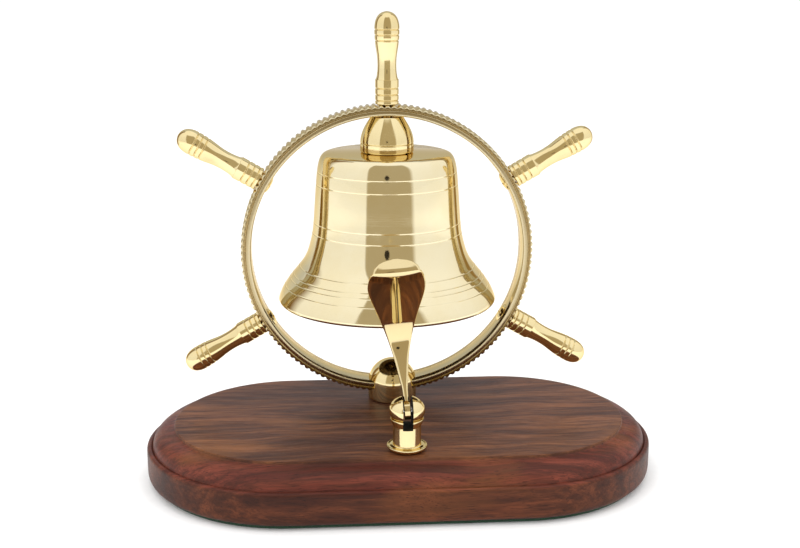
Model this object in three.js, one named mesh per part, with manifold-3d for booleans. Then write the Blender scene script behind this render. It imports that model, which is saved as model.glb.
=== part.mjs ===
// Desk bell in a ship's-wheel frame.
//
// A brass bell hangs from the top of a knurled wheel ring with five turned handles. The ring stands
// in a domed foot on a moulded wooden plinth, and a striker lever turns in a slotted post in front
// of it. Units are millimetres, +Z is up, -Y is the front, and the origin is the middle of the
// underside. The wheel stands a little left of and behind the plinth's middle.

import * as THREE from 'three';
import { mergeVertices } from 'three/addons/utils/BufferGeometryUtils.js';
import Module from 'manifold-3d';

const wasm = await Module();
wasm.setup();

// ---------------------------------------------------------------- driving dimensions (mm, degrees)

const GAP = 0.3; // clearance between pieces that touch
const PIN_FIT = 0.1; // radial clearance of the pivot pin in its post

const PLINTH = {
  length: 190,
  depth: 108,
  height: 21.5, // top face above the table, pad included
  lip: 14, // top of the upright side, where the moulding starts
  moulding: 10.5, // how far the top face is set in from the side
};
const PAD = { thickness: 1.2, inset: 3 };

const WHEEL = {
  x: -3.4,
  y: 21,
  z: 81.3, // centre of the ring
  outer: 55.8, // radius over the knurl
  inner: 51.9,
  width: 11.6,
  teeth: 144,
  toothDepth: 0.8,
};

const HANDLE = { length: 33.8, base: 4.4, neck: 3.5, knob: 4.65, shoulder: 9.2 };
const HANDLE_ANGLES = { top: 90, upper_left: 150, upper_right: 30, lower_left: 210, lower_right: -30 };
const SCREW = { shank: 1.5, head: 3.5, headHeight: 1.1, depth: 7 };

const BELL = { mouthZ: 61.8, height: 57.3, wall: 2 };
const ACORN = { radius: 10.1, top: 6, shoulder: 3.1 };
const STUD = { radius: 2, intoHandle: 8, belowCrown: 6 };
const WASHER = { radius: 6, thickness: 1 };
const NUT = { acrossFlats: 7, height: 3.4 };

// The foot takes the ring a little to the right of its lowest point.
const FOOT = { x: -1.4, y: WHEEL.y, radius: 9.4, height: 15.7 };
const FOOT_BOLT = { radius: 2.4, head: 4.6, headHeight: 3, top: 33 };
const POST_SCREW = { radius: 1.8, head: 3.6, headHeight: 2.4, top: 28 };
const COUNTERBORE = { radius: 7, depth: 6 };

const POST = {
  x: 0,
  y: -34.6,
  flange: 7.15,
  flangeHeight: 1.7,
  stem: 5,
  collarZ: 31.8, // underside of the collar
  collar: 5.9,
  collarHeight: 1.6,
  ball: 6.35,
  ballHalfHeight: 5,
  slot: 3.6,
  slotZ: 30.1, // floor of the slot
};
const PIVOT = { z: 36.2, pin: 1.2, bore: 1.55 };

const LEVER = {
  thickness: 1.8,
  tang: 2.1, // width of the part that stands in the slot
  eye: 3.4,
  rootSwell: 1.4, // how much deeper each side is at the pivot
  rootLength: 9, // the stretch over which that dies away
  lean: 4.5, // towards the bell's middle line, degrees
};

// ---------------------------------------------------------------- materials

const finish = (color, roughness, metalness) =>
  new THREE.MeshStandardMaterial({ color, roughness, metalness });

const MATERIALS = {
  rosewood: finish(0x6b3f2a, 0.45, 0),
  baize: finish(0x1f3d2b, 0.95, 0),
  bellBrass: finish(0xe6c870, 0.1, 1),
  wheelBrass: finish(0xd9b863, 0.18, 1),
  turnedBrass: finish(0xdcb85c, 0.15, 1),
  leverBrass: finish(0xd6bd75, 0.12, 1),
  steel: finish(0x9a9a98, 0.35, 1),
};

// ---------------------------------------------------------------- solids

/** Merges shared vertices, drops collapsed triangles and turns the faces outwards. */
function closed(geometry) {
  const bare = geometry.clone();
  bare.deleteAttribute('normal');
  bare.deleteAttribute('uv');
  const merged = mergeVertices(bare, 1e-4);
  const at = merged.attributes.position;
  const corner = (i) => new THREE.Vector3().fromBufferAttribute(at, i);
  const kept = [];
  let volume = 0;
  for (let i = 0; i < merged.index.count; i += 3) {
    const [a, b, c] = [0, 1, 2].map((k) => merged.index.getX(i + k));
    if (a === b || b === c || c === a) continue;
    kept.push([a, b, c]);
    volume += corner(a).dot(corner(b).cross(corner(c)));
  }
  merged.setIndex(kept.flatMap(([a, b, c]) => (volume > 0 ? [a, b, c] : [a, c, b])));
  return merged;
}

function toSolid(geometry) {
  const mesh = closed(geometry);
  return new wasm.Manifold(
    new wasm.Mesh({
      numProp: 3,
      vertProperties: new Float32Array(mesh.attributes.position.array),
      triVerts: new Uint32Array(mesh.index.array),
    }),
  );
}

function toGeometry(solid) {
  const mesh = solid.getMesh();
  const geometry = new THREE.BufferGeometry();
  geometry.setAttribute('position', new THREE.BufferAttribute(mesh.vertProperties, 3));
  geometry.setIndex(new THREE.BufferAttribute(mesh.triVerts, 1));
  return geometry;
}

/** The first geometry with the others cut away. */
const cut = (body, ...tools) =>
  toGeometry(tools.reduce((solid, tool) => solid.subtract(toSolid(tool)), toSolid(body)));

const join = (...parts) => toGeometry(parts.map(toSolid).reduce((a, b) => a.add(b)));

/** Turns a profile of [radius, height] points about +Z. */
function turned(profile, segments = 24) {
  const points = profile.map((p) => (p.isVector2 ? p : new THREE.Vector2(...p)));
  return new THREE.LatheGeometry(points, segments).rotateX(Math.PI / 2);
}

/** A round bar along +Z from one height to another. */
function bar(radius, from, to, segments = 24) {
  const geometry = new THREE.CylinderGeometry(radius, radius, to - from, segments);
  return geometry.rotateX(Math.PI / 2).translate(0, 0, (from + to) / 2);
}

/** A flat ring about +Z. */
const washer = (outer, inner, from, to, segments = 24) =>
  turned([[inner, from], [outer, from], [outer, to], [inner, to], [inner, from]], segments);

/** A shape drawn in X and Z, with its thickness along Y about the plane y = 0. */
const slab = (shape, thickness, curveSegments = 12) =>
  new THREE.ExtrudeGeometry(shape, { depth: thickness, bevelEnabled: false, curveSegments })
    .translate(0, 0, -thickness / 2)
    .rotateX(Math.PI / 2);

/** A hexagon's outline about +Z. */
function hexagon(acrossFlats) {
  const radius = acrossFlats / Math.sqrt(3);
  const corners = [0, 1, 2, 3, 4, 5].map((i) => (i * Math.PI) / 3);
  return new THREE.Shape(
    corners.map((a) => new THREE.Vector2(radius * Math.cos(a), radius * Math.sin(a))),
  );
}

// ---------------------------------------------------------------- plinth and pad

/** Half of the plinth's section: outwards distance from the middle line, and height. */
function plinthSection() {
  const { height, lip, moulding } = PLINTH;
  const side = PLINTH.depth / 2;
  const top = side - moulding;
  const path = new THREE.Path();
  path.moveTo(0, PAD.thickness + GAP);
  path.lineTo(side - 3, PAD.thickness + GAP);
  path.quadraticCurveTo(side, PAD.thickness + GAP, side, 5);
  path.lineTo(side, lip - 1.5);
  path.quadraticCurveTo(side, lip, side - 1.4, lip);
  path.lineTo(side - 1.9, lip - 0.4);
  path.quadraticCurveTo(side - 3, lip + 4.6, top + 1, height - 1.6);
  path.lineTo(top, height - 1.1);
  path.lineTo(top, height);
  path.lineTo(0, height);
  return path.getPoints(4);
}

/** The whole section, mirrored, as a shape in Y and Z. */
function mirrored(half) {
  const other = half.slice(1, -1).reverse().map((p) => new THREE.Vector2(-p.x, p.y));
  return new THREE.Shape([...half, ...other]);
}

function plinth() {
  const half = plinthSection();
  const straight = PLINTH.length - PLINTH.depth;
  const middle = new THREE.ExtrudeGeometry(mirrored(half), { depth: straight, bevelEnabled: false })
    .translate(0, 0, -straight / 2)
    .rotateX(Math.PI / 2)
    .rotateZ(Math.PI / 2);
  const end = (side) => turned(half, 36).translate((side * straight) / 2, 0, 0);
  const hole = (at, radius) =>
    bar(radius, 0, PLINTH.height + 1).translate(at.x, at.y, 0);
  const pocket = (at) =>
    bar(COUNTERBORE.radius, 0, PAD.thickness + COUNTERBORE.depth).translate(at.x, at.y, 0);
  return cut(
    join(middle, end(1), end(-1)),
    hole(FOOT, FOOT_BOLT.radius + GAP),
    pocket(FOOT),
    hole(POST, POST_SCREW.radius + GAP),
    pocket(POST),
  );
}

function baizePad() {
  const radius = PLINTH.depth / 2 - PAD.inset;
  const straight = (PLINTH.length - PLINTH.depth) / 2;
  const outline = new THREE.Shape();
  outline.moveTo(-straight, -radius);
  outline.lineTo(straight, -radius);
  outline.absarc(straight, 0, radius, -Math.PI / 2, Math.PI / 2, false);
  outline.lineTo(-straight, radius);
  outline.absarc(-straight, 0, radius, Math.PI / 2, (3 * Math.PI) / 2, false);
  return new THREE.ExtrudeGeometry(outline, {
    depth: PAD.thickness,
    bevelEnabled: false,
    curveSegments: 16,
  });
}

// ---------------------------------------------------------------- wheel

/** Moves a piece made along +Z to a place on the wheel, pointing outwards at an angle. */
function onWheel(geometry, degrees) {
  return geometry.rotateY(THREE.MathUtils.degToRad(90 - degrees));
}

function wheelRing() {
  const { outer, inner, width, teeth, toothDepth } = WHEEL;
  const outline = new THREE.Shape(
    Array.from({ length: 2 * teeth }, (_, i) => {
      const angle = (i * Math.PI) / teeth;
      const radius = outer - (i % 2) * toothDepth;
      return new THREE.Vector2(radius * Math.cos(angle), radius * Math.sin(angle));
    }),
  );
  outline.holes.push(new THREE.Path().absarc(0, 0, inner, 0, 2 * Math.PI, true));
  const hoop = slab(outline, width, 48);
  const hole = (degrees, radius) => onWheel(bar(radius, inner - 3, outer + 3, 16), degrees);
  const footHole = bar(FOOT_BOLT.radius + GAP, -outer - 3, 3 - inner, 16);
  const screwHoles = Object.entries(HANDLE_ANGLES)
    .filter(([name]) => name !== 'top')
    .map(([, degrees]) => hole(degrees, SCREW.shank + GAP));
  return cut(
    hoop,
    hole(HANDLE_ANGLES.top, STUD.radius + GAP),
    footHole.translate(FOOT.x - WHEEL.x, 0, 0),
    ...screwHoles,
  );
}

/** A turned handle along +Z: ringed ferrule, waisted grip and round knob, bored from its base. */
function handle(boreRadius, boreDepth) {
  const { length, base, neck, knob, shoulder } = HANDLE;
  const path = new THREE.Path();
  path.moveTo(0, boreDepth);
  path.lineTo(boreRadius, boreDepth);
  path.lineTo(boreRadius, 0);
  path.lineTo(base, 0);
  path.lineTo(base, shoulder);
  path.lineTo(base - 0.3, shoulder);
  path.quadraticCurveTo(neck - 0.1, shoulder + 3, neck, shoulder + 6);
  path.bezierCurveTo(neck, shoulder + 10, knob, shoulder + 12, knob, length - 6.5);
  path.quadraticCurveTo(knob, length - 0.4, 0, length);
  return turned(path.getPoints(4), 14).translate(0, 0, WHEEL.outer + GAP);
}

/** A domed screw along +Z, its head resting against the inside of the ring. */
function handleScrew() {
  const { shank, head, headHeight, depth } = SCREW;
  const seat = WHEEL.inner - GAP;
  const tip = WHEEL.outer + GAP + depth - 0.6;
  return turned(
    [
      [0, seat - headHeight],
      [head * 0.7, seat - headHeight * 0.75],
      [head, seat],
      [shank, seat],
      [shank, tip],
      [0, tip],
    ],
    12,
  );
}

// ---------------------------------------------------------------- bell and what hangs it

/** The bell's outer face from its mouth to its crown, heights from the mouth. */
const BELL_OUTSIDE = [
  [41.1, 0],
  [41.8, 1.3],
  [40.6, 4.5],
  [38.7, 7.6],
  [36.3, 10.8],
  [33.7, 14],
  [31.6, 17.1],
  [30.1, 20.8],
  [28.7, 26.5],
  [28, 32.6],
  [27.4, 40.8],
  [26.8, 48],
  [26.3, 52],
  [25.5, 55],
  [24.3, 56.7],
  [22.8, 57.3],
];

/** The inner face, from the crown back down: the outer face less the wall, thicker at the lip. */
function bellInside() {
  const { wall, height } = BELL;
  const body = BELL_OUTSIDE.filter(([, z]) => z > 1.3 && z < 53);
  const inside = body.map(([radius, z]) => [radius - wall * (z < 10 ? 1.25 : 1), z]);
  return [[37.6, 0], ...inside, [23, height - wall - 0.7], [21, height - wall]];
}

function bell() {
  const hole = STUD.radius + GAP;
  const inside = bellInside().reverse();
  const profile = [...BELL_OUTSIDE, [hole, BELL.height], [hole, BELL.height - BELL.wall], ...inside];
  profile.push(profile[0]);
  return turned(profile, 40).translate(0, 0, BELL.mouthZ);
}

const BELL_TOP = BELL.mouthZ + BELL.height;
const BELL_CEILING = BELL_TOP - BELL.wall;
const STUD_FOOT = BELL_CEILING - STUD.belowCrown;

/** The dome between the bell and the ring, flat on top and bored for the stud. */
function crownAcorn() {
  const bottom = BELL_TOP + GAP;
  const top = WHEEL.z + WHEEL.inner - 0.6;
  const hole = STUD.radius + GAP;
  const path = new THREE.Path();
  path.moveTo(hole, bottom);
  path.lineTo(ACORN.radius - 0.6, bottom);
  path.lineTo(ACORN.radius, bottom + 0.6);
  path.lineTo(ACORN.radius, bottom + ACORN.shoulder);
  path.bezierCurveTo(ACORN.radius, bottom + 7, ACORN.top + 2.2, top - 3.2, ACORN.top, top);
  path.lineTo(hole, top);
  path.lineTo(hole, bottom);
  return turned(path.getPoints(6), 28);
}

function bellStud() {
  return bar(STUD.radius, STUD_FOOT, WHEEL.z + WHEEL.outer + STUD.intoHandle - GAP, 16);
}

function bellWasher() {
  const top = BELL_CEILING - GAP;
  return washer(WASHER.radius, STUD.radius + GAP, top - WASHER.thickness, top, 16);
}

function bellNut() {
  const top = BELL_CEILING - 2 * GAP - WASHER.thickness;
  const outline = hexagon(NUT.acrossFlats);
  outline.holes.push(new THREE.Path().absarc(0, 0, STUD.radius + GAP, 0, 2 * Math.PI, true));
  const nut = new THREE.ExtrudeGeometry(outline, {
    depth: NUT.height,
    bevelEnabled: false,
    curveSegments: 8,
  });
  return nut.translate(0, 0, top - NUT.height);
}

// ---------------------------------------------------------------- wheel foot

/** The domed foot: the ring's lowest stretch passes through it, and a bolt rises into it. */
function wheelFoot() {
  const bottom = PLINTH.height + GAP;
  const dome = FOOT.height - FOOT.radius;
  const path = new THREE.Path();
  path.moveTo(0, bottom);
  path.lineTo(FOOT.radius, bottom);
  path.lineTo(FOOT.radius, bottom + dome);
  path.absellipse(0, bottom + dome, FOOT.radius, FOOT.radius, 0, Math.PI / 2, false, 0);
  const body = turned(path.getPoints(7), 28);
  const window = slab(ringBand(GAP), WHEEL.width + 2 * GAP, 48);
  window.translate(WHEEL.x - FOOT.x, 0, WHEEL.z);
  return cut(body, window, bar(FOOT_BOLT.radius + GAP, bottom - 1, FOOT_BOLT.top + GAP, 16));
}

/** The ring's face as a plain band, widened all round by a margin. */
function ringBand(margin) {
  const band = new THREE.Shape().absarc(0, 0, WHEEL.outer + margin, 0, 2 * Math.PI, false);
  band.holes.push(new THREE.Path().absarc(0, 0, WHEEL.inner - margin, 0, 2 * Math.PI, true));
  return band;
}

// ---------------------------------------------------------------- fasteners under the plinth

const POCKET_CEILING = PAD.thickness + COUNTERBORE.depth;

const underWasher = (boltRadius, outer) =>
  washer(outer, boltRadius + GAP, POCKET_CEILING - GAP - 1, POCKET_CEILING - GAP, 16);

/** A bolt from below: its head is under the washer and its shank rises to a height. */
function bolt({ radius, head, headHeight, top }) {
  const seat = POCKET_CEILING - 2 * GAP - 1;
  const cap = new THREE.ExtrudeGeometry(hexagon(head * Math.sqrt(3)), {
    depth: headHeight,
    bevelEnabled: false,
  }).translate(0, 0, seat - headHeight);
  return join(cap, bar(radius, seat - 0.5, top, 16));
}

// ---------------------------------------------------------------- striker

/** The post: flange, stem, collar and ball head, slotted front to back for the lever. */
function strikerPost() {
  const bottom = PLINTH.height + GAP;
  const { flange, flangeHeight, stem, collar, collarZ, collarHeight, ball, ballHalfHeight } = POST;
  const path = new THREE.Path();
  path.moveTo(0, bottom);
  path.lineTo(flange, bottom);
  path.lineTo(flange, bottom + flangeHeight - 0.5);
  path.lineTo(flange - 0.6, bottom + flangeHeight);
  path.lineTo(stem, bottom + flangeHeight);
  path.lineTo(stem, collarZ - 0.4);
  path.lineTo(collar, collarZ);
  path.lineTo(collar, collarZ + collarHeight);
  path.lineTo(ball - 0.8, collarZ + collarHeight);
  path.absellipse(0, PIVOT.z, ball, ballHalfHeight, -0.35, Math.PI / 2, false, 0);
  const body = turned(path.getPoints(7), 28);
  const slotHeight = 20;
  const slot = new THREE.BoxGeometry(POST.slot, 30, slotHeight);
  slot.translate(0, 0, POST.slotZ + slotHeight / 2);
  const pinBore = bar(PIVOT.pin + PIN_FIT, -10, 10, 20).rotateY(Math.PI / 2).translate(0, 0, PIVOT.z);
  const screwBore = bar(POST_SCREW.radius + GAP, bottom - 1, POST_SCREW.top + GAP, 16);
  return cut(body, slot, pinBore, screwBore);
}

const pivotPin = () => bar(PIVOT.pin, -POST.ball + 0.1, POST.ball - 0.1, 20).rotateY(Math.PI / 2);

/** The strip that the lever is bent from: [half width, distance from the pivot along the strip]. */
const STRIP_WIDTHS = [
  [1.05, 0],
  [1.05, 6.8],
  [1.6, 11.3],
  [2.65, 18.8],
  [4.25, 25.6],
  [7, 35],
  [9.95, 46],
  [9.45, 54.3],
  [8, 59.5],
];

/** Its bends from the pivot upwards: [length of a stretch, how far it leans back at its end]. */
const STRIP_BENDS = [
  [18.6, 32.5],
  [15.2, -27],
  [24, -43],
  [2.1, 44],
  [3.7, 54],
];

/** Half the strip's width at a distance along it, with a rounded end. */
function halfWidth(distance, length) {
  const [endWidth, endStart] = STRIP_WIDTHS.at(-1);
  if (distance > endStart) {
    const share = (distance - endStart) / (length - endStart);
    return endWidth * Math.sqrt(Math.max(1 - share * share, 0.1));
  }
  const next = STRIP_WIDTHS.findIndex(([, at]) => at >= distance);
  if (next < 1) return STRIP_WIDTHS[0][0];
  const [[from, start], [to, end]] = [STRIP_WIDTHS[next - 1], STRIP_WIDTHS[next]];
  return from + ((to - from) * (distance - start)) / (end - start);
}

/** Four-cornered sections of the bent strip, from the pivot to the end of the thumb tab. */
function stripSections() {
  const length = STRIP_BENDS.reduce((sum, [stretch]) => sum + stretch, 0);
  const at = new THREE.Vector3();
  const sections = [];
  let distance = 0;
  let lean = STRIP_BENDS[0][1];
  const addSection = () => {
    const angle = THREE.MathUtils.degToRad(lean);
    const width = halfWidth(distance, length);
    const depth = LEVER.thickness / 2 + LEVER.rootSwell * Math.exp(-distance / LEVER.rootLength);
    const through = new THREE.Vector3(0, Math.cos(angle), -Math.sin(angle)).multiplyScalar(depth);
    const corners = [[-1, -1], [1, -1], [1, 1], [-1, 1]];
    sections.push(
      corners.map(([side, face]) =>
        new THREE.Vector3(side * width, 0, 0).add(at).addScaledVector(through, face),
      ),
    );
  };
  addSection();
  for (const [stretch, endLean] of STRIP_BENDS) {
    const steps = Math.ceil(stretch / 1.5) + 1;
    const turn = (endLean - lean) / steps;
    for (let i = 0; i < steps; i += 1) {
      const middle = THREE.MathUtils.degToRad(lean + turn / 2);
      at.y += (Math.sin(middle) * stretch) / steps;
      at.z += (Math.cos(middle) * stretch) / steps;
      lean += turn;
      distance += stretch / steps;
      addSection();
    }
  }
  return sections;
}

/** A closed skin over four-cornered sections. */
function lofted(sections) {
  const index = [0, 2, 1, 0, 3, 2];
  for (let row = 0; row < sections.length - 1; row += 1) {
    for (let side = 0; side < 4; side += 1) {
      const a = row * 4 + side;
      const b = row * 4 + ((side + 1) % 4);
      index.push(a, b, b + 4, a, b + 4, a + 4);
    }
  }
  const last = (sections.length - 1) * 4;
  index.push(last, last + 1, last + 2, last, last + 2, last + 3);
  const skin = new THREE.BufferGeometry().setFromPoints(sections.flat());
  return skin.setIndex(index);
}

/** The lever about its pivot, standing upright. */
function strikerLever() {
  const eye = bar(LEVER.eye, -LEVER.tang / 2, LEVER.tang / 2, 20).rotateY(Math.PI / 2);
  const bore = bar(PIVOT.bore, -10, 10, 20).rotateY(Math.PI / 2);
  return cut(join(lofted(stripSections()), eye), bore);
}

// ---------------------------------------------------------------- assembly

function piece(name, geometry, material) {
  const mesh = new THREE.Mesh(closed(geometry), MATERIALS[material]);
  mesh.name = name;
  return mesh;
}

function group(...children) {
  const made = new THREE.Group();
  made.add(...children);
  return made;
}

const base = group(
  piece('plinth', plinth(), 'rosewood'),
  piece('baize_pad', baizePad(), 'baize'),
);

// The wheel's own frame has its origin at the ring's centre.
const wheel = group(piece('wheel_ring', wheelRing(), 'wheelBrass'));
for (const [place, degrees] of Object.entries(HANDLE_ANGLES)) {
  const isTop = place === 'top';
  const bore = isTop ? STUD.radius + GAP : SCREW.shank + GAP;
  const depth = isTop ? STUD.intoHandle : SCREW.depth;
  wheel.add(piece(`handle_${place}`, onWheel(handle(bore, depth), degrees), 'turnedBrass'));
  if (!isTop) wheel.add(piece(`screw_${place}`, onWheel(handleScrew(), degrees), 'turnedBrass'));
}
wheel.position.set(WHEEL.x, WHEEL.y, WHEEL.z);

// What stands on the wheel's upright line keeps its heights above the table.
const wheelLine = group(
  piece('bell', bell(), 'bellBrass'),
  piece('crown_acorn', crownAcorn(), 'turnedBrass'),
  piece('bell_stud', bellStud(), 'turnedBrass'),
  piece('bell_washer', bellWasher(), 'turnedBrass'),
  piece('bell_nut', bellNut(), 'turnedBrass'),
);
wheelLine.position.set(WHEEL.x, WHEEL.y, 0);

const foot = group(
  piece('wheel_foot', wheelFoot(), 'turnedBrass'),
  piece('foot_bolt', bolt(FOOT_BOLT), 'steel'),
  piece('foot_washer', underWasher(FOOT_BOLT.radius, 6.2), 'steel'),
);
foot.position.set(FOOT.x, FOOT.y, 0);

const post = group(
  piece('striker_post', strikerPost(), 'turnedBrass'),
  piece('post_screw', bolt(POST_SCREW), 'steel'),
  piece('post_washer', underWasher(POST_SCREW.radius, 5), 'steel'),
);
post.position.set(POST.x, POST.y, 0);

const pivot = group(piece('pivot_pin', pivotPin(), 'steel'));
pivot.position.set(POST.x, POST.y, PIVOT.z);

const lever = group(piece('striker_lever', strikerLever(), 'leverBrass'));
lever.position.copy(pivot.position);
lever.rotation.y = THREE.MathUtils.degToRad(-LEVER.lean);

export default group(base, wheel, wheelLine, foot, post, pivot, lever);
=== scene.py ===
"""Looks of a brass desk bell in a ship's-wheel frame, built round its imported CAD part.

Shapes are worked out in millimetres, in the part's own frame, and turned into metres where a mesh
is made. Places and overall sizes come from the CAD nodes. -Y is the front and +Z is up.
"""

import math

import bpy
from mathutils import Matrix, Quaternion, Vector


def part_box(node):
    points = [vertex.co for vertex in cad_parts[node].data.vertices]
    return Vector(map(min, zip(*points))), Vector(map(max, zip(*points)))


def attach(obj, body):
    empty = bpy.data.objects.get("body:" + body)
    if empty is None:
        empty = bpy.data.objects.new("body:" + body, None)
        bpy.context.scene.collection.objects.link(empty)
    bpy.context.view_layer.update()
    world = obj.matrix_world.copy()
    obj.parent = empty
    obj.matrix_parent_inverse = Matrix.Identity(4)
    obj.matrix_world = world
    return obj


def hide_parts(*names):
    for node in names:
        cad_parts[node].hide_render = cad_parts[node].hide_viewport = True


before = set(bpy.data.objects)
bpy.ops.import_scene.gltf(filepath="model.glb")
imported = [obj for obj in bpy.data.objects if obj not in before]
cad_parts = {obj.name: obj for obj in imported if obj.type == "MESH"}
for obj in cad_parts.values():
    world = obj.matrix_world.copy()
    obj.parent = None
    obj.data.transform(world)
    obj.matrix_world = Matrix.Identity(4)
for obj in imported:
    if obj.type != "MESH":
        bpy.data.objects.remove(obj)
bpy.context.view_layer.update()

MM = 0.001  # metres in a millimetre
TURN = 2 * math.pi


# ---------------------------------------------------------------- places from the frame


def place(node):
    """Lowest corner, highest corner and centre of a CAD node, in millimetres."""
    low, high = (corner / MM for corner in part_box(node))
    return low, high, (low + high) / 2


PLINTH_LOW, PLINTH_HIGH, _ = place("plinth")
RING_LOW, RING_HIGH, WHEEL = place("wheel_ring")
BELL_LOW, BELL_HIGH, _ = place("bell")
POST_LOW, POST_HIGH, POST = place("striker_post")
FOOT_LOW, FOOT_HIGH, FOOT = place("wheel_foot")
_, _, PIVOT = place("pivot_pin")

WHEEL_RADIUS = (RING_HIGH.x - RING_LOW.x) / 2
BELL_AXIS = Matrix.Translation((WHEEL.x, WHEEL.y, 0))
FOOT_AXIS = Matrix.Translation((FOOT.x, FOOT.y, 0))
POST_AXIS = Matrix.Translation((POST.x, POST.y, 0))

HANDLE_ANGLES = {
    "top": 90,
    "upper_left": 150,
    "upper_right": 30,
    "lower_left": 210,
    "lower_right": -30,
}


# ---------------------------------------------------------------- outlines


def arc(x, y, radius, start, end, steps):
    """Points on a circle, from one angle to another in degrees."""
    angles = [math.radians(start + (end - start) * i / steps) for i in range(steps + 1)]
    return [(x + radius * math.cos(a), y + radius * math.sin(a)) for a in angles]


def curve(points, steps):
    """A Bezier curve with 3 or 4 control points."""
    made = []
    for i in range(steps + 1):
        level = [Vector(p) for p in points]
        while len(level) > 1:
            level = [a.lerp(b, i / steps) for a, b in zip(level, level[1:])]
        made.append(tuple(level[0]))
    return made


def spline(points, steps):
    """A smooth line through the points, with a number of steps from each to the next."""
    given = [Vector(p) for p in points]
    made = []
    for i in range(len(given) - 1):
        before, a, b, after = (given[min(max(k, 0), len(given) - 1)] for k in range(i - 1, i + 3))
        for step in range(steps):
            t = step / steps
            bend = (2 * before - 5 * a + 4 * b - after) * t * t + (3 * (a - b) + after - before) * t**3
            made.append(tuple(a + ((b - before) * t + bend) / 2))
    return made + [tuple(given[-1])]


def softened(points, radius, steps=4):
    """The outline with each inner corner rounded over."""
    corners = [Vector(p) for p in points]
    made = [tuple(corners[0])]
    for before, at, after in zip(corners, corners[1:], corners[2:]):
        into, out = before - at, after - at
        reach = min(radius, into.length * 0.48, out.length * 0.48)
        sides = [at + into.normalized() * reach, at, at + out.normalized() * reach]
        made += curve(sides, steps)
    return made + [tuple(corners[-1])]


def engraved(profile, heights, width, depth, step=0.08):
    """A turned profile, running upwards, with fine grooves cut where it crosses some heights."""
    fine, along, centres = [], [0.0], []
    for a, b in zip(profile, profile[1:]):
        near = any(min(a[1], b[1]) - width < z < max(a[1], b[1]) + width for z in heights)
        count = max(1, math.ceil(math.dist(a, b) / step)) if near else 1
        fine += [Vector(a).lerp(Vector(b), i / count) for i in range(count)]
    fine.append(Vector(profile[-1]))
    for a, b in zip(fine, fine[1:]):
        length = (b - a).length
        centres += [along[-1] + length / 2 for z in heights if a.y <= z < b.y]
        along.append(along[-1] + length)
    made = []
    for i, (point, distance) in enumerate(zip(fine, along)):
        nearest = min((abs(distance - centre) for centre in centres), default=width)
        if nearest < width / 2:
            bite = depth * (0.5 + 0.5 * math.cos(TURN * nearest / width))
            heading = (fine[i + 1] - fine[i - 1]).normalized()
            point = point + Vector((-heading.y, heading.x)) * bite
        made.append(tuple(point))
    return made


# ---------------------------------------------------------------- meshes


def lathe(profile, segments=64):
    """Vertices and faces of a profile of (radius, height) turned about Z."""
    verts, faces, rows = [], [], []
    for radius, height in profile:
        if radius < 1e-6:
            rows.append([len(verts)] * segments)
            verts.append((0, 0, height))
            continue
        rows.append(range(len(verts), len(verts) + segments))
        for i in range(segments):
            angle = TURN * i / segments
            verts.append((radius * math.cos(angle), radius * math.sin(angle), height))
    for low, high in zip(rows, rows[1:]):
        for i in range(segments):
            j = (i + 1) % segments
            face = list(dict.fromkeys([low[i], low[j], high[j], high[i]]))
            if len(face) > 2:
                faces.append(face)
    return verts, faces


def lofted(sections, closed=False):
    """Vertices and faces of a skin over rings of points, capped unless it closes on itself."""
    size = len(sections[0])
    verts = [point for section in sections for point in section]
    faces = []
    rows = len(sections)
    for row in range(rows if closed else rows - 1):
        low, high = row * size, (row + 1) % rows * size
        for i in range(size):
            j = (i + 1) % size
            faces.append((low + i, low + j, high + j, high + i))
    if not closed:
        faces.append(tuple(reversed(range(size))))
        faces.append(tuple(range((rows - 1) * size, rows * size)))
    return verts, faces


def joined(*shapes):
    """Several shapes as one."""
    verts, faces = [], []
    for more_verts, more_faces in shapes:
        start = len(verts)
        verts += more_verts
        faces += [tuple(start + i for i in face) for face in more_faces]
    return verts, faces


def shade(mesh, sharp):
    """Smooth shading, broken at edges sharper than an angle in degrees."""
    mesh.polygons.foreach_set("use_smooth", [True] * len(mesh.polygons))
    mesh.set_sharp_from_angle(angle=math.radians(sharp))


def solid(name, shape, matrix=Matrix(), sharp=38):
    """A shape in millimetres as an object in metres, its faces turned outwards."""
    verts, faces = shape
    mesh = bpy.data.meshes.new(name)
    mesh.from_pydata([(matrix @ Vector(v)) * MM for v in verts], [], faces)
    if volume(mesh) < 0:
        mesh.flip_normals()
    shade(mesh, sharp)
    made = bpy.data.objects.new(name, mesh)
    bpy.context.scene.collection.objects.link(made)
    return made


def volume(mesh):
    """Signed volume of a closed mesh."""
    mesh.calc_loop_triangles()
    at = [v.co for v in mesh.vertices]
    corners = ([at[i] for i in t.vertices] for t in mesh.loop_triangles)
    return sum(a.dot(b.cross(c)) for a, b, c in corners)


def carve(made, cutters, sharp=38):
    """Cuts the cutters out of a solid and removes them."""
    for cutter in cutters:
        cut = made.modifiers.new("cut", "BOOLEAN")
        cut.object = cutter
        cut.solver = "EXACT"
    graph = bpy.context.evaluated_depsgraph_get()
    made.data = bpy.data.meshes.new_from_object(made.evaluated_get(graph))
    made.modifiers.clear()
    for cutter in cutters:
        bpy.data.objects.remove(cutter)
    shade(made.data, sharp)
    return made


def block(low, high):
    """A plain box, which only ever cuts."""
    (x0, y0, z0), (x1, y1, z1) = low, high
    bottom = [(x0, y0, z0), (x1, y0, z0), (x1, y1, z0), (x0, y1, z0)]
    return lofted([bottom, [(x, y, z1) for x, y, _ in bottom]])


def finished(made, material, slot, body, *nodes):
    """Gives a piece its material and body, and lets it stand for its CAD nodes."""
    made.data.materials.clear()
    made.data.materials.append(material)
    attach(made, body)
    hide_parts(*nodes)
    return made


# ---------------------------------------------------------------- materials


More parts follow.
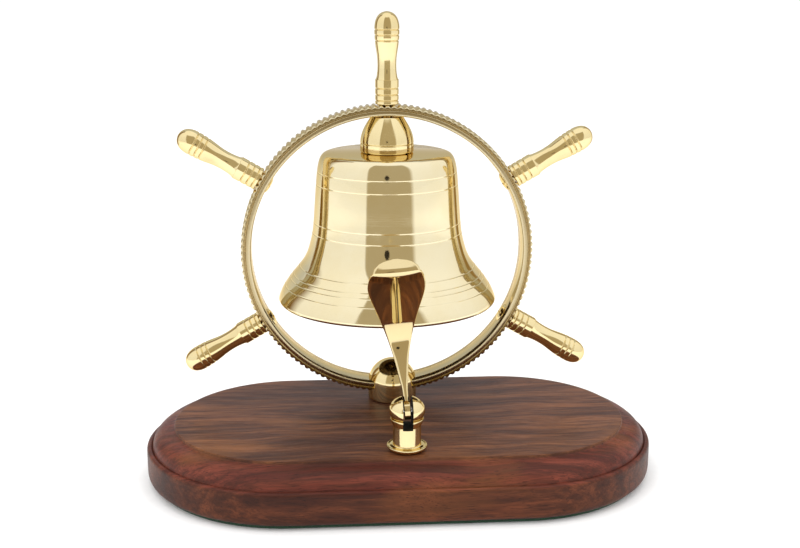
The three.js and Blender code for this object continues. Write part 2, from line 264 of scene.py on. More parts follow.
class Shader:
    """A material's nodes, added call by call."""

    def __init__(self, name):
        self.material = bpy.data.materials.new(name)
        self.material.use_nodes = True
        self.tree = self.material.node_tree
        self.surface = self.tree.nodes["Principled BSDF"]
        self.at = self.node("TexCoord").outputs["Object"]

    def put(self, socket, value):
        if isinstance(value, bpy.types.NodeSocket):
            self.tree.links.new(value, socket)
        else:
            socket.default_value = value

    def node(self, kind, inputs=(), **settings):
        made = self.tree.nodes.new("ShaderNode" + kind)
        for key, value in settings.items():
            setattr(made, key, value)
        for key, value in dict(inputs).items():
            self.put(made.inputs[key], value)
        return made

    def set(self, **inputs):
        """Sets the surface's own sockets, with spaces in their names written as underscores."""
        for name, value in inputs.items():
            self.put(self.surface.inputs[name.replace("_", " ")], value)

    def stretched(self, per_metre, at=None, turn=0):
        """The place on the object, with a different number of repeats per metre along each axis."""
        inputs = {
            "Vector": at or self.at,
            "Scale": per_metre,
            "Rotation": (0, 0, math.radians(turn)),
        }
        return self.node("Mapping", inputs).outputs["Vector"]

    def noise(self, per_metre, detail=2, roughness=0.5, distortion=0, at=None, turn=0):
        inputs = {
            "Vector": self.stretched(per_metre, at, turn),
            "Scale": 1,
            "Detail": detail,
            "Roughness": roughness,
            "Distortion": distortion,
        }
        return self.node("TexNoise", inputs).outputs["Fac"]

    def math(self, operation, a, b=0.5):
        return self.node("Math", {0: a, 1: b}, operation=operation).outputs[0]

    def span(self, value, low, high, to_low=0, to_high=1):
        """The value's range from low to high, stretched over another range."""
        inputs = {
            "Value": value,
            "From Min": low,
            "From Max": high,
            "To Min": to_low,
            "To Max": to_high,
        }
        return self.node("MapRange", inputs, interpolation_type="SMOOTHSTEP").outputs["Result"]

    def mix(self, share, a, b, blend="MIX"):
        made = self.node("Mix", data_type="RGBA", blend_type=blend)
        colours = [socket for socket in made.inputs if socket.type == "RGBA"]
        self.put(made.inputs["Factor"], share)
        for socket, value in zip(colours, (a, b)):
            self.put(socket, (*value, 1) if isinstance(value, tuple) else value)
        return next(socket for socket in made.outputs if socket.type == "RGBA")

    def bump(self, height, strength, depth_mm):
        inputs = {"Height": height, "Strength": strength, "Distance": depth_mm * MM}
        self.set(Normal=self.node("Bump", inputs).outputs["Normal"])

    def height(self):
        return self.node("SeparateXYZ", {"Vector": self.at}).outputs["Z"]


EDGE_TINT = (0.85, 0.7, 0.45)  # colour of brass seen at a low angle
# The wheel's face at the knurl and at the bore: a painted gradient, in place of what it reflects.
RING_FACE_PAINTED_REFLECTION = ((0.36, 0.27, 0.13), (0.63, 0.54, 0.35))


def brass(name, colour, tarnish, roughness, turned=0.0, face=None):
    """Polished brass: a faint warm mottle, hand smudges in the gloss, and fine lathe lines.

    Where painted reflection colours are given for the face, the wheel's front and back have them:
    the second at the bore, the first out at the knurl.
    """
    made = Shader(name)
    mottle = made.span(made.noise((55, 55, 55), detail=4, roughness=0.6), 0.35, 0.7)
    smudges = made.span(made.noise((90, 90, 90), detail=5, roughness=0.65, distortion=0.6), 0.4, 0.75)
    polish = made.mix(made.math("MULTIPLY", mottle, 0.5), colour, tarnish)
    gloss = made.span(smudges, 0, 1, roughness, roughness * 2.2)
    if face:
        normal = made.node("NewGeometry").outputs["True Normal"]
        across = made.node("SeparateXYZ", {"Vector": normal}).outputs["Y"]
        flat = made.span(made.math("ABSOLUTE", across), 0.8, 0.97)
        in_plane = made.node("VectorMath", {0: made.at, 1: (1, 0, 1)}, operation="MULTIPLY").outputs[0]
        middle = (WHEEL.x * MM, 0, WHEEL.z * MM)
        radius = made.node("VectorMath", {0: in_plane, 1: middle}, operation="DISTANCE").outputs["Value"]
        out = made.span(radius, (WHEEL_RADIUS - 3.9) * MM, (WHEEL_RADIUS - 1.6) * MM)
        # Painted reflection: the wheel's flat faces take a gradient from the bore to the knurl in place of
        # what they reflect.
        polish = made.mix(flat, polish, made.mix(out, face[1], face[0]))
        gloss = made.math("ADD", gloss, made.math("MULTIPLY", flat, 0.12))
    made.set(Base_Color=polish, Metallic=1.0, Roughness=gloss, Specular_Tint=(*EDGE_TINT, 1))
    ripple = made.noise((30, 30, 30), detail=1)
    lines = made.noise((60, 60, 2600), detail=2, roughness=0.7)
    made.bump(made.math("ADD", made.math("MULTIPLY", lines, turned), ripple), 0.12, 0.12)
    return made.material


def painted_slot_shade():
    """The slot's unpolished saw-cut walls and floor, near black as painted shade for the dark inside of the
    slot.
    """
    made = Shader("painted_slot_shade")
    shade_mottle = made.noise((900, 900, 900), detail=3, roughness=0.6)
    # Painted shade: a near-black colour for the deep slot, with a faint mottle in it.
    made.set(
        Base_Color=made.mix(made.span(shade_mottle, 0.3, 0.7), (0.006, 0.005, 0.003), (0.03, 0.021, 0.009)),
        Roughness=0.8,
    )
    made.bump(shade_mottle, 0.3, 0.1)
    return made.material


def cast_brass():
    """The bell's unpolished inside: brown and grainy, as it left the mould."""
    made = Shader("cast_brass")
    grain = made.noise((700, 700, 700), detail=4, roughness=0.6)
    patches = made.noise((60, 60, 60), detail=3)
    colour = made.mix(made.span(grain, 0.3, 0.7), (0.1, 0.06, 0.022), (0.24, 0.15, 0.055))
    colour = made.mix(made.span(patches, 0.35, 0.7, 0, 0.6), colour, (0.075, 0.045, 0.02))
    made.set(Base_Color=colour, Metallic=0.8, Roughness=made.span(grain, 0.3, 0.7, 0.5, 0.65))
    made.bump(grain, 0.4, 0.15)
    return made.material


def rosewood():
    """Satin-lacquered hardwood with its grain along X, stained redder on the moulding, with painted shade
    darkening the side below the lip.
    """
    made = Shader("lacquered_rosewood")
    wander = made.noise((14, 26, 26), detail=2)
    sway = made.node("CombineXYZ", {"Y": made.math("MULTIPLY", wander, 0.02), "Z": 0.0}).outputs[0]
    at = made.node("VectorMath", {0: made.at, 1: sway}, operation="ADD").outputs[0]

    figure = made.noise((13, 150, 110), detail=4, roughness=0.6, at=at, turn=-4)
    streaks = made.noise((30, 620, 500), detail=3, roughness=0.6, at=at, turn=-4)
    fibres = made.noise((120, 2600, 2200), detail=2, roughness=0.6, at=at, turn=-3)
    pores = made.span(made.noise((210, 3600, 3600), detail=1, at=at, turn=-3), 0.6, 0.7)

    brown = made.mix(made.span(figure, 0.33, 0.68), (0.072, 0.024, 0.0115), (0.245, 0.09, 0.034))
    red = made.mix(made.span(figure, 0.33, 0.68), (0.078, 0.0165, 0.0105), (0.205, 0.046, 0.026))
    height = made.height()
    top = PLINTH_HIGH.z * MM
    on_moulding = made.span(height, top - 0.0015, top - 0.0004, 1, 0)
    below = made.span(height, top - 0.0088, top - 0.0074, 0.35, 1)
    stain = made.math("MULTIPLY", on_moulding, below)
    colour = made.mix(stain, brown, red)
    colour = made.mix(made.span(streaks, 0.36, 0.62, 0.6, 0), colour, (0.042, 0.015, 0.009))
    colour = made.mix(made.span(fibres, 0.35, 0.65, 0.3, 0), colour, (0.036, 0.014, 0.009))
    amber = made.span(made.noise((22, 60, 60), detail=2), 0.52, 0.72, 0, 0.4)
    colour = made.mix(amber, colour, (0.235, 0.088, 0.026))
    colour = made.mix(made.math("MULTIPLY", pores, 0.6), colour, (0.016, 0.006, 0.005))
    # Painted shade: the side below the lip is darkened as if it took less light than the top.
    painted_side_shade = made.span(height, top - 0.0088, top - 0.0074, 1, 0)
    colour = made.mix(painted_side_shade, colour, (0.62, 0.52, 0.46), blend="MULTIPLY")

    made.set(
        Base_Color=colour,
        Roughness=made.span(fibres, 0.3, 0.7, 0.52, 0.4),
        Specular_IOR_Level=0.16,
        Coat_Weight=0.05,
        Coat_Roughness=0.22,
    )
    relief = made.math("SUBTRACT", made.math("MULTIPLY", fibres, 0.5), pores)
    made.bump(relief, 0.35, 0.06)
    return made.material


def baize():
    """Short green pile."""
    made = Shader("green_baize")
    pile = made.noise((1900, 1900, 1900), detail=3, roughness=0.7)
    patches = made.noise((70, 70, 70), detail=2)
    colour = made.mix(made.span(pile, 0.3, 0.7), (0.008, 0.03, 0.016), (0.03, 0.085, 0.045))
    colour = made.mix(made.span(patches, 0.3, 0.7, 0, 0.3), colour, (0.02, 0.05, 0.03))
    made.set(Base_Color=colour, Roughness=0.95, Sheen_Weight=0.35, Sheen_Roughness=0.5)
    made.bump(pile, 0.8, 0.25)
    return made.material


def plated_steel():
    """Bright zinc with a fine, slightly cloudy grain."""
    made = Shader("plated_steel")
    clouds = made.noise((160, 160, 160), detail=4, roughness=0.6)
    colour = made.mix(made.span(clouds, 0.3, 0.7), (0.5, 0.5, 0.49), (0.68, 0.68, 0.67))
    made.set(Base_Color=colour, Metallic=1.0, Roughness=made.span(clouds, 0.3, 0.7, 0.22, 0.38))
    made.bump(made.noise((900, 900, 900), detail=2), 0.15, 0.05)
    return made.material


BELL_BRASS = brass("bell_brass", (0.87, 0.775, 0.53), (0.83, 0.7, 0.41), 0.055, turned=0.2)
WHEEL_BRASS = brass("wheel_brass", (0.7, 0.62, 0.42), (0.62, 0.51, 0.3), 0.1, face=RING_FACE_PAINTED_REFLECTION)
TURNED_BRASS = brass("turned_brass", (0.87, 0.735, 0.42), (0.79, 0.62, 0.3), 0.075)
LEVER_BRASS = brass("lever_brass", (0.79, 0.65, 0.37), (0.73, 0.58, 0.29), 0.06)
SLOT_PAINTED_SHADE = painted_slot_shade()
CAST_BRASS = cast_brass()
ROSEWOOD = rosewood()
BAIZE = baize()
STEEL = plated_steel()


# ---------------------------------------------------------------- plinth and pad

LIP = 14.0  # height of the lip, where the moulding starts
MOULDING = 10.5  # how far the top is set in from the side


def plinth_section():
    """From the underside's edge to the top's edge: how far out from the middle line, and height."""
    side = (PLINTH_HIGH.y - PLINTH_LOW.y) / 2
    bottom, top = PLINTH_LOW.z, PLINTH_HIGH.z
    edge = side - MOULDING
    under = curve([(side - 3, bottom), (side, bottom), (side, bottom + 3.5)], 8)
    lip = [(side, LIP - 1.5), *curve([(side, LIP - 1.4), (side, LIP), (side - 1.4, LIP)], 6)]
    groove = [(side - 1.7, LIP - 0.1), (side - 1.95, LIP - 0.45), (side - 2.15, LIP + 0.1)]
    ovolo = curve([(side - 2.2, LIP + 0.3), (side - 3, LIP + 4.7), (edge + 1, top - 1.6)], 12)
    step = softened([(edge + 1, top - 1.6), (edge, top - 1.15), (edge, top), (edge - 2, top)], 0.4)
    return under + lip + groove + ovolo + step[1:]


def stadium(radius, straight, steps=64):
    """An outline with round ends, its straight sides along X."""
    right = arc(straight / 2, 0, radius, -90, 90, steps)
    return right + [(-x, -y) for x, y in right]


def plinth():
    length = PLINTH_HIGH.x - PLINTH_LOW.x
    depth = PLINTH_HIGH.y - PLINTH_LOW.y
    rings = []
    for out, z in plinth_section():
        rings.append([(x, y, z) for x, y in stadium(out, length - depth)])
    made = solid("wooden_plinth", lofted(rings), sharp=50)
    return finished(made, ROSEWOOD, "rosewood", "stand", "plinth")


def pad():
    low, high, _ = place("baize_pad")
    depth = high.y - low.y
    straight = (high.x - low.x) - depth
    radius = depth / 2
    outline = softened([(radius - 2, low.z), (radius, low.z), (radius, high.z), (radius - 2, high.z)], 0.4)
    rings = [[(x, y, z) for x, y in stadium(out, straight)] for out, z in outline]
    made = solid("felt_pad", lofted(rings), sharp=50)
    finished(made, BAIZE, "baize", "stand", "baize_pad")
    return made


# ---------------------------------------------------------------- wheel

TEETH = 144
TOOTH_DEPTH = 0.8
RING_WALL = 3.9


def wheel_ring():
    """The hoop: a flat band with eased edges, its rim knurled with round-topped teeth."""
    half = (RING_HIGH.y - RING_LOW.y) / 2
    inner = WHEEL_RADIUS - RING_WALL
    edge = WHEEL_RADIUS - 1.3  # where the knurl starts
    # One face, from the bore outwards: (radius, how far in from the face, share of a tooth).
    face = [(inner, 0.45, 0), (inner + 0.15, 0.15, 0), (inner + 0.45, 0, 0)]
    face += [(edge - 0.75, 0.1, 0), (edge - 0.45, 0.7, 0), (edge - 0.1, 0.7, 0), (edge, 0, 0)]
    face += [(WHEEL_RADIUS - 0.75, 0.08, 0.25), (WHEEL_RADIUS - 0.2, 0.55, 0.8), (WHEEL_RADIUS, 1.3, 1)]
    section = [(radius, inwards - half, share) for radius, inwards, share in reversed(face)]
    section += [(radius, half - inwards, share) for radius, inwards, share in face]
    per_tooth = 8
    rings = []
    for i in range(TEETH * per_tooth):
        angle = TURN * i / (TEETH * per_tooth)
        valley = (0.5 - 0.5 * math.cos(TURN * i / per_tooth)) ** 2
        ring = []
        for radius, across, share in section:
            reach = radius - TOOTH_DEPTH * share * valley
            ring.append((reach * math.cos(angle), across, reach * math.sin(angle)))
        rings.append(ring)
    made = solid("knurled_ring", lofted(rings, closed=True), Matrix.Translation(WHEEL), sharp=60)
    return finished(made, WHEEL_BRASS, "wheel_brass", "stand", "wheel_ring")


def outwards(degrees):
    """The frame of a piece that points out of the wheel's centre at an angle."""
    return Matrix.Translation(WHEEL) @ Matrix.Rotation(math.radians(90 - degrees), 4, "Y")


FERRULE_LINES = [1.4, 3.5, 5.9]  # grooves round the ferrule, from its foot
KNOB_LINES = [23.4, 25.4, 27.4]
SHOULDER = 9.2


def handle_profile(length):
    """A ringed ferrule, a waisted grip and a round knob, from the foot outwards."""
    base, neck, knob = 4.4, 3.5, 4.65
    foot = softened([(0, 0), (base, 0), (base, 3), (base, SHOULDER), (base - 0.35, SHOULDER)], 0.25)
    waist = curve([(base - 0.35, SHOULDER), (neck - 0.1, SHOULDER + 3), (neck, SHOULDER + 6)], 8)
    grip = curve(
        [(neck, SHOULDER + 6), (neck, SHOULDER + 10), (knob, SHOULDER + 12), (knob, length - 6.5)], 16
    )
    tip = curve([(knob, length - 6.5), (knob, length - 0.4), (0, length)], 14)
    profile = foot[:-1] + waist[1:] + grip[1:] + tip[1:]
    profile = engraved(profile, FERRULE_LINES + KNOB_LINES, 0.75, 0.28)
    return profile


def handle(name, degrees):
    length = place("handle_top")[1].z - WHEEL.z - WHEEL_RADIUS
    lift = Matrix.Translation((0, 0, WHEEL_RADIUS + 0.05))
    made = solid(f"turned_handle_{name}", lathe(handle_profile(length - 0.05)), outwards(degrees) @ lift)
    return finished(made, TURNED_BRASS, "turned_brass", "stand", f"handle_{name}")


def handle_screw(name, degrees):
    """A slotted round-head screw inside the ring."""
    head, height = 3.5, 1.1
    seat = WHEEL_RADIUS - RING_WALL - 0.05
    dome = curve([(0, seat - height), (head * 0.75, seat - height), (head, seat - 0.25)], 8)
    profile = dome + [(head, seat), (1.5, seat), (1.5, seat + 1), (0, seat + 1)]
    made = solid(f"round_head_screw_{name}", lathe(profile, 32))
    slot = solid("slot", block((-0.35, -4, seat - height - 1), (0.35, 4, seat - height + 0.45)))
    carve(made, [slot])
    made.data.transform(Matrix.Scale(MM, 4) @ outwards(degrees) @ Matrix.Scale(1 / MM, 4))
    return finished(made, TURNED_BRASS, "turned_brass", "stand", f"screw_{name}")


# ---------------------------------------------------------------- bell and what hangs it

WALL = 2.0
LIP_WALL = 1.25  # how much thicker the wall is near the mouth
STUD_HOLE = 2.3
BELL_OUTSIDE = [
    (41.1, 0),
    (41.8, 1.3),
    (40.6, 4.5),
    (38.7, 7.6),
    (36.3, 10.8),
    (33.7, 14),
    (31.6, 17.1),
    (30.1, 20.8),
    (28.7, 26.5),
    (28, 32.6),
    (27.4, 40.8),
    (26.8, 48),
    (26.3, 52),
    (25.5, 55),
    (24.3, 56.7),
    (22.8, 57.3),
]
BELL_LINES = [6.8, 9.5, 11.1, 14.1, 27.1, 31.1, 45.6, 50.3]  # heights of the engraved rings


def bell_shell():
    """The bell: engraved outside, plain inside, with a rolled lip."""
    height = BELL_HIGH.z - BELL_LOW.z
    outside = engraved(spline(BELL_OUTSIDE, 8), BELL_LINES, 0.65, 0.1)
    crown = [(STUD_HOLE, height), (STUD_HOLE, height - WALL)]
    inside = [(r - WALL * (LIP_WALL if z < 10 else 1), z) for r, z in BELL_OUTSIDE if 1.3 < z < 53]
    inside = spline([(37.6, 0.3), *inside, (23, height - WALL - 0.7), (21, height - WALL)], 6)
    lip = curve([(37.6, 0.3), (38.2, -0.1), (40, -0.05), BELL_OUTSIDE[0]], 6)
    profile = outside + crown + inside[::-1] + lip[1:]
    made = solid("bell_shell", lathe(profile, 160), BELL_AXIS @ Matrix.Translation((0, 0, BELL_LOW.z)))
    finished(made, BELL_BRASS, "bell_brass", "stand", "bell")
    made.data.materials.append(CAST_BRASS)
    middle = Vector((WHEEL.x, WHEEL.y)) * MM
    for face in made.data.polygons:
        faces_axis = face.normal.xy.dot(face.center.xy - middle) < 0
        under_crown = face.normal.z < -0.5 and face.center.z > WHEEL.z * MM
        face.material_index = int(faces_axis or under_crown)
    return made


def acorn():
    """The dome between the bell and the ring, flat on top, with a ring cut where its dome starts."""
    low, high, _ = place("crown_acorn")
    bottom, top, shoulder = BELL_HIGH.z + 0.04, 6.0, low.z + 3.1
    radius = (high.x - low.x) / 2
    foot = [(STUD_HOLE, bottom), (radius - 0.5, bottom), (radius, bottom + 0.5), (radius, shoulder)]
    ends = [(radius, shoulder), (radius, low.z + 7), (top + 2.2, high.z - 3.2), (top, high.z)]
    profile = engraved(softened(foot, 0.4)[:-1] + curve(ends, 20), [shoulder], 0.6, 0.15)
    profile = profile[:-1] + softened([profile[-2], (top, high.z), (STUD_HOLE, high.z)], 0.35)[1:]
    made = solid("domed_acorn", lathe(profile + [profile[0]], 96), BELL_AXIS)
    return finished(made, TURNED_BRASS, "turned_brass", "stand", "crown_acorn")


def stud():
    """The hanging stud, with the turns of its thread showing at the end under the nut."""
    low, high, _ = place("bell_stud")
    radius, pitch = (high.x - low.x) / 2, 0.7
    profile = [(0, low.z), (radius - 0.6, low.z)]
    turns = 8
    for i in range(turns):
        z = low.z + 0.3 + i * pitch
        profile += [(radius, z + pitch * 0.35), (radius, z + pitch * 0.5), (radius - 0.35, z + pitch * 0.85)]
    profile += [(radius, low.z + 0.4 + turns * pitch), (radius, high.z), (0, high.z)]
    made = solid("threaded_stud", lathe(profile, 32), BELL_AXIS, sharp=30)
    return finished(made, TURNED_BRASS, "turned_brass", "stand", "bell_stud")


def crown_washer():
    low, high, _ = place("bell_washer")
    outer = (high.x - low.x) / 2
    edges = [(STUD_HOLE, low.z), (outer, low.z), (outer, high.z), (STUD_HOLE, high.z)]
    profile = softened(edges, 0.25)
    made = solid("crown_washer", lathe(profile + [profile[0]], 48), BELL_AXIS)
    return finished(made, TURNED_BRASS, "turned_brass", "stand", "bell_washer")


def crown_nut():
    """A hexagon nut with its corners turned off and a hole for the stud."""
    low, high, _ = place("bell_nut")
    flat = (high.y - low.y) / 2
    steps = 10
    rings = [[], [], [], []]
    for i in range(6 * steps):
        angle = TURN * i / (6 * steps)
        from_flat = (math.degrees(angle) + 30) % 60 - 30
        outer = flat / math.cos(math.radians(30 - abs(from_flat)))
        drop = max(0, outer - flat) * 0.6
        for ring, radius, z in (
            (rings[0], flat * 0.94, low.z),
            (rings[1], outer, low.z + 0.15 + drop),
            (rings[2], outer, high.z - 0.15 - drop),
            (rings[3], flat * 0.94, high.z),
        ):
            ring.append((radius * math.cos(angle), radius * math.sin(angle), z))
    hole = []
    for ring in (rings[3], rings[0]):
        hole.append([(*(Vector((x, y)).normalized() * STUD_HOLE), z) for x, y, z in ring])
    made = solid("crown_nut", lofted(rings + hole, closed=True), BELL_AXIS, sharp=25)
    return finished(made, TURNED_BRASS, "turned_brass", "stand", "bell_nut")


def foot():
    """The domed foot that the ring's lowest stretch passes through."""
    radius = (FOOT_HIGH.x - FOOT_LOW.x) / 2
    straight = FOOT_HIGH.z - radius
    profile = softened([(0, FOOT_LOW.z), (radius, FOOT_LOW.z), (radius, straight - 0.01)], 0.4)
    profile = profile[:-1] + arc(0, straight, radius, 0, 90, 28)
    made = solid("domed_foot", lathe(profile, 96), FOOT_AXIS)
    return finished(made, TURNED_BRASS, "turned_brass", "stand", "wheel_foot")


# ---------------------------------------------------------------- striker

FLANGE_HEIGHT = 1.7
STEM = 5.0
COLLAR_Z, COLLAR, COLLAR_HEIGHT = 31.8, 5.9, 1.6
BALL, BALL_HALF_HEIGHT = 6.35, 5.0
SLOT, SLOT_Z = 3.6, 30.1


def slotted_post():
    """Flange, stem, cupped collar and ball head, slotted from front to back for the lever."""
    bottom, flange = POST_LOW.z, (POST_HIGH.x - POST_LOW.x) / 2
    shoulder = bottom + FLANGE_HEIGHT
    rim = COLLAR_Z + COLLAR_HEIGHT
    lower = [(0, bottom), (flange - 0.9, bottom), (flange, shoulder - 0.7), (flange, shoulder)]
    lower += [(flange - 1, shoulder - 0.1), (STEM, shoulder), (STEM, COLLAR_Z - 1), (COLLAR, rim - 0.6)]
    lower += [(COLLAR, rim), (COLLAR - 0.4, rim), (STEM - 0.3, rim - 0.5), (STEM - 0.1, rim - 0.1)]
    ball = []
    for i in range(31):
        angle = math.radians(-32 + 122 * i / 30)
        ball.append((BALL * math.cos(angle), PIVOT.z + BALL_HALF_HEIGHT * math.sin(angle)))
    ball[-1] = (0, ball[-1][1])
    made = solid("slotted_post", lathe(softened(lower, 0.3) + ball, 96), POST_AXIS)
    reach, above = 20, 12
    slot = block((-SLOT / 2, -reach, SLOT_Z), (SLOT / 2, reach, PIVOT.z + above))
    carve(made, [solid("slot", slot, POST_AXIS)])
    finished(made, TURNED_BRASS, "turned_brass", "stand", "striker_post")
    # The slot's walls and floor take the near-black painted shade.
    made.data.materials.append(SLOT_PAINTED_SHADE)
    for face in made.data.polygons:
        wall = abs(abs(face.center.x - POST.x * MM) - SLOT / 2 * MM) < 1e-5
        floor_of_slot = abs(face.center.z - SLOT_Z * MM) < 1e-5
        face.material_index = int(wall or floor_of_slot)
    return made


def pin():
    """The pivot pin, its domed ends flush with the ball."""
    low, high, centre = place("pivot_pin")
    half, radius = (high.x - low.x) / 2, (high.z - low.z) / 2
    end = curve([(0, half), (radius * 0.7, half), (radius, half - 0.3)], 6)
    profile = [(r, -z) for r, z in end] + end[::-1]
    along_x = Matrix.Translation(centre) @ Matrix.Rotation(math.radians(90), 4, "Y")
    made = solid("pivot_pin_steel", lathe(profile, 32), along_x)
    return finished(made, STEEL, "plated_steel", "stand", "pivot_pin")


# The strip that the lever is bent from: (half width, distance from the pivot along the strip).
STRIP_WIDTHS = [
    (1.05, 0),
    (1.05, 6.8),
    (1.6, 11.3),
    (2.65, 18.8),
    (4.25, 25.6),
    (7, 35),
    (9.95, 46),
    (9.45, 54.3),
    (8, 59.5),
]
# Its bends from the pivot upwards: (length of a stretch, how many degrees it leans back at its end).
STRIP_BENDS = [(18.6, 32.5), (15.2, -27), (24, -43), (2.1, 44), (3.7, 54)]
STRIP_LENGTH = sum(stretch for stretch, _ in STRIP_BENDS)
STRIP_THICKNESS = 1.8
ROOT_SWELL, ROOT_LENGTH = 1.4, 9.0  # how much deeper each side is at the pivot, and over what length
CROWN = 19.0  # radius of the front face across the strip
LEVER_LEAN = 4.5  # degrees towards the bell's middle line
EYE = 3.4
EYE_BORE = 1.55


def strip_half_width(distance):
    """Half the strip's width at a distance along it, with a rounded end."""
    end_width, end_start = STRIP_WIDTHS[-1]
    if distance > end_start:
        share = (distance - end_start) / (STRIP_LENGTH - end_start)
        return end_width * math.sqrt(max(1 - share * share, 0.03))
    outline = spline(STRIP_WIDTHS, 10)
    for (from_width, start), (to_width, end) in zip(outline, outline[1:]):
        if start <= distance <= end:
            return from_width + (to_width - from_width) * (distance - start) / (end - start)
    return end_width


def strip_line(step=0.5):
    """Along the strip's middle: place, lean in degrees, and distance from the pivot."""
    y, z, distance, lean = 0.0, 0.0, 0.0, STRIP_BENDS[0][1]
    line = [((y, z), lean, distance)]
    for stretch, end_lean in STRIP_BENDS:
        steps = math.ceil(stretch / step) + 4
        turn = (end_lean - lean) / steps
        for _ in range(steps):
            middle = math.radians(lean + turn / 2)
            y += math.sin(middle) * stretch / steps
            z += math.cos(middle) * stretch / steps
            lean += turn
            distance += stretch / steps
            line.append(((y, z), lean, distance))
    return line


def strip_section(place_yz, lean, distance, steps=20):
    """Across the strip: the front rounded, the back flatter, the edges rounded over."""
    angle = math.radians(lean)
    to_front = Vector((0, -math.cos(angle), math.sin(angle)))
    width = strip_half_width(distance)
    depth = STRIP_THICKNESS / 2 + ROOT_SWELL * math.exp(-distance / ROOT_LENGTH)
    flattening = min(1, (STRIP_LENGTH - distance) / 10)
    ease = min(0.7, width * 0.6)
    front, back = [], []
    for i in range(steps + 1):
        x = width * math.cos(math.pi * i / steps)
        drop = flattening * x * x / (2 * CROWN)
        over_edge = max(0, abs(x) - width + ease) / ease
        half = (depth - drop / 4) * math.sqrt(max(0, 1 - over_edge**2))
        middle = Vector((x, *place_yz)) - to_front * (drop * 0.75)
        front.append(tuple(middle + to_front * half))
        back.append(tuple(middle - to_front * half))
    return front + back[-2:0:-1]


def lever():
    """A bent strip that widens to a folded thumb tab, with an eye on the pivot."""
    start = EYE_BORE + 0.5
    strip = lofted([strip_section(*point) for point in strip_line() if point[2] > start])
    half = STRIP_WIDTHS[0][0] + 0.08  # the eye stands a little proud of the strip
    rim = softened([(EYE_BORE, -half), (EYE, -half), (EYE, half), (EYE_BORE, half)], 0.25)
    eye_verts, eye_faces = lathe(rim + [rim[0]], 48)
    to_x = Matrix.Rotation(math.radians(90), 4, "Y")
    eye = ([tuple(to_x @ Vector(v)) for v in eye_verts], eye_faces)
    leaning = Matrix.Translation(PIVOT) @ Matrix.Rotation(math.radians(-LEVER_LEAN), 4, "Y")
    made = solid("thumb_lever", joined(strip, eye), leaning, sharp=50)
    return finished(made, LEVER_BRASS, "lever_brass", "lever", "striker_lever")


# ---------------------------------------------------------------- stage, light and camera


def card_glow(name, colour):
    """A plain glow, as solid as the card's own "cover" value says."""
    material = bpy.data.materials.new(name)
    material.use_nodes = True
    tree = material.node_tree
    glow = tree.nodes.new("ShaderNodeEmission")
    glow.inputs["Color"].default_value = (*colour, 1)
    clear = tree.nodes.new("ShaderNodeBsdfTransparent")
    cover = tree.nodes.new("ShaderNodeAttribute")
    cover.attribute_name = "cover"
    blend = tree.nodes.new("ShaderNodeMixShader")
    tree.links.new(cover.outputs["Fac"], blend.inputs[0])
    tree.links.new(clear.outputs[0], blend.inputs[1])
    tree.links.new(glow.outputs[0], blend.inputs[2])
    tree.links.new(blend.outputs[0], tree.nodes["Material Output"].inputs["Surface"])
    return material


def in_polish_only(name, colour, verts, faces, covers):
    """A glowing shape of the set that nothing shows but polished metal."""
    mesh = bpy.data.meshes.new(name)
    mesh.from_pydata([Vector(v) * MM for v in verts], [], faces)
    mesh.attributes.new("cover", "FLOAT", "POINT").data.foreach_set("value", covers)
    mesh.materials.append(card_glow(name, colour))
    made = bpy.data.objects.new(name, mesh)
    bpy.context.scene.collection.objects.link(made)
    made.visible_camera = False
    made.visible_diffuse = False
    made.visible_shadow = False
    made.visible_transmission = False


def card(name, colour, angles, heights, distance, fades, rises):
    """A curved card round the bell, between two angles from the front and between two heights.

    It fades in and out over the degrees in fades, and over the millimetres of height in rises.
    """
    (start, end), (low, high) = angles, heights
    columns = 60
    rows = [(low, 0), (low + rises[0], 1), (high - rises[1], 1), (high, 0)]
    verts, covers, faces = [], [], []
    for i in range(columns + 1):
        turn = start + (end - start) * i / columns
        x = WHEEL.x + distance * math.sin(math.radians(turn))
        y = WHEEL.y - distance * math.cos(math.radians(turn))
        side = min((turn - start) / fades[0], (end - turn) / fades[1], 1)
        for z, share in rows:
            verts.append((x, y, z))
            covers.append(side * share)
    size = len(rows)
    for i in range(columns):
        for j in range(size - 1):
            a = i * size + j
            faces.append((a, a + size, a + size + 1, a + 1))
    in_polish_only(name, colour, verts, faces, covers)


def lens(radius):
    """The camera's lens, a dark dot in the polish."""
    back = camera_back()
    middle = CAMERA_TARGET + back * CAMERA_DISTANCE
    turn = back.to_track_quat("Z", "Y")
    verts = [middle + turn @ Vector((x, y, 0)) for x, y in arc(0, 0, radius, 0, 350, 35)]
    in_polish_only("lens", (0.03, 0.025, 0.02), verts, [tuple(range(len(verts)))], [1.0] * len(verts))


def floor():
    """A pale sweep of table, large enough to fill every view."""
    reach = 12000
    shape = [Vector((x * reach, y * reach, 0)) * MM for x, y in ((-1, -1), (1, -1), (1, 1), (-1, 1))]
    mesh = bpy.data.meshes.new("pale_table")
    mesh.from_pydata(shape, [], [(0, 1, 2, 3)])
    made = bpy.data.objects.new("pale_table", mesh)
    bpy.context.scene.collection.objects.link(made)
    paper = Shader("pale_paper")
    fleck = paper.noise((220, 220, 220), detail=3)
    paper.set(
        Base_Color=paper.mix(paper.span(fleck, 0.3, 0.7), (0.955, 0.955, 0.95), (0.975, 0.975, 0.97)),
        Roughness=0.9,
        Specular_IOR_Level=0.1,
    )
    mesh.materials.append(paper.material)


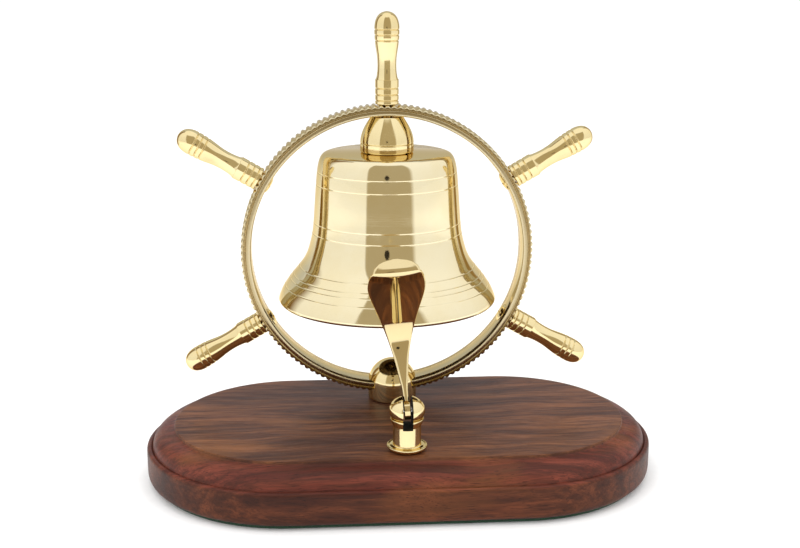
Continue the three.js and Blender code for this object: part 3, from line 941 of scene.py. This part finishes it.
def area_light(name, angle, elevation, distance, size, power):
    """A rectangular soft light that faces the bell. It doesn't show in polished metal."""
    light = bpy.data.lights.new(name, "AREA")
    light.shape = "RECTANGLE"
    light.size, light.size_y = (side * MM for side in size)
    light.energy = power
    made = bpy.data.objects.new(name, light)
    bpy.context.scene.collection.objects.link(made)
    a, e = math.radians(angle), math.radians(elevation)
    out = Vector((math.sin(a) * math.cos(e), -math.cos(a) * math.cos(e), math.sin(e)))
    target = Vector((WHEEL.x, WHEEL.y, 70)) * MM
    made.location = target + out * distance * MM
    made.rotation_mode = "QUATERNION"
    made.rotation_quaternion = out.to_track_quat("Z", "Y")
    made.visible_glossy = False
    return made


LEVEL_GLOW, OVERHEAD_GLOW = 1.0, 1.14


def studio_world():
    """Even white surroundings, a little brighter overhead."""
    world = bpy.data.worlds.new("white_tent")
    world.use_nodes = True
    nodes, links = world.node_tree.nodes, world.node_tree.links
    direction = nodes.new("ShaderNodeTexCoord").outputs["Generated"]
    split = nodes.new("ShaderNodeSeparateXYZ")
    links.new(direction, split.inputs[0])
    nodes["Background"].inputs["Color"].default_value = (1, 1, 1, 1)
    ramp = nodes.new("ShaderNodeMapRange")
    ramp.inputs["From Min"].default_value = -0.1
    ramp.inputs["To Min"].default_value = LEVEL_GLOW
    ramp.inputs["To Max"].default_value = OVERHEAD_GLOW
    links.new(split.outputs["Z"], ramp.inputs["Value"])
    links.new(ramp.outputs["Result"], nodes["Background"].inputs["Strength"])
    bpy.context.scene.world = world


CAMERA_ANGLE, CAMERA_ELEVATION, CAMERA_ROLL = -4.31, 14.05, 0.10  # degrees
CAMERA_DISTANCE = 466.87
CAMERA_TARGET = Vector((0.03, 0, 76.75))
SENSOR, LENS = 36.0, 56.81


def camera_back():
    """The direction from what the camera looks at, back to the camera."""
    a, e = math.radians(CAMERA_ANGLE), math.radians(CAMERA_ELEVATION)
    return Vector((math.sin(a) * math.cos(e), -math.cos(a) * math.cos(e), math.sin(e)))


def camera():
    data = bpy.data.cameras.new("camera")
    data.sensor_width, data.lens = SENSOR, LENS
    data.clip_start, data.clip_end = 0.01, 50
    made = bpy.data.objects.new("camera", data)
    bpy.context.scene.collection.objects.link(made)
    back = camera_back()
    made.location = (CAMERA_TARGET + back * CAMERA_DISTANCE) * MM
    made.rotation_mode = "QUATERNION"
    roll = Quaternion((0, 0, 1), math.radians(CAMERA_ROLL))
    made.rotation_quaternion = (-back).to_track_quat("-Z", "Y") @ roll
    bpy.context.scene.camera = made


def lighting():
    """A white tent and three soft lights, with cards that give the polish its lines and greys.

    The photograph's own room isn't known. The cards were set to give its reflections.
    """
    studio_world()
    lens(30)
    card("backdrop", (0.64, 0.67, 0.71), (128, 232), (-20, 900), 420, (6, 6), (200, 200))
    card("left_flag", (0.22, 0.12, 0.028), (-131, -105), (-20, 700), 330, (2, 14), (60, 60))
    card("right_flag", (0.33, 0.22, 0.08), (120, 137), (-20, 700), 330, (8, 2), (60, 60))
    card("front_card", (0.5, 0.43, 0.3), (-36, 39), (40, 1300), 560, (2, 6), (20, 300))
    area_light("key", -48, 42, 1100, (900, 700), 3)
    area_light("fill", 55, 36, 1200, (900, 700), 2)
    area_light("top", 0, 88, 1000, (800, 600), 2)


# ---------------------------------------------------------------- the set

plinth()
pad()
wheel_ring()
for place_name, degrees in HANDLE_ANGLES.items():
    handle(place_name, degrees)
    if place_name != "top":
        handle_screw(place_name, degrees)
bell_shell()
acorn()
stud()
crown_washer()
crown_nut()
foot()
slotted_post()
pin()
lever()

for hidden in ("foot_bolt", "foot_washer", "post_screw", "post_washer"):
    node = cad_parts[hidden]
    node.data.materials.clear()
    node.data.materials.append(STEEL)

floor()
lighting()
camera()
bpy.context.scene.view_settings.view_transform = "Standard"
